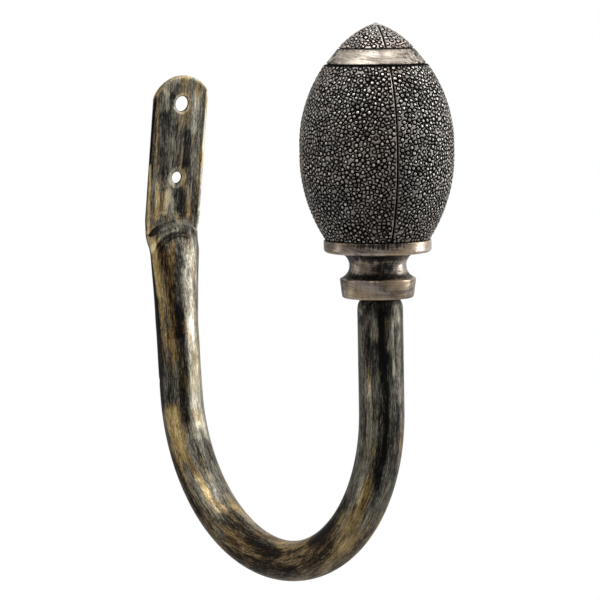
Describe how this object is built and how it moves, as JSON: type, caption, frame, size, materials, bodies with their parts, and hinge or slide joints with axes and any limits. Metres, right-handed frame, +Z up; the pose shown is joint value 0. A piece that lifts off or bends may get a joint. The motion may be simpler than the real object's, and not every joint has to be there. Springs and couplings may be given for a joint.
{
  "type": "curtain holdback hook",
  "caption": "Wall-mounted U-shaped curtain holdback of bent steel tube with a pressed two-hole plate and a cast pebbled egg finial.",
  "frame": {"origin": "on the plate's flat back face, midway between the two screw holes", "axes": "+Y into the wall, square to the plate's back face; +Z up along the plate, the hook's longest extent; +X sideways, the shortest extent"},
  "size_m": [0.0536, 0.147, 0.2113],
  "materials": {
    "brushed_brass_paint": "black paint rubbed with brass streaks, satin",
    "pewter_cast": "cast resin with a rubbed antique pewter finish, satin",
    "steel": "turned"
  },
  "bodies": {
    "root": {"hook_tube": "brushed_brass_paint", "end_plug": "steel", "finial_stud": "steel", "finial": "pewter_cast"}
  },
  "joints": []
}
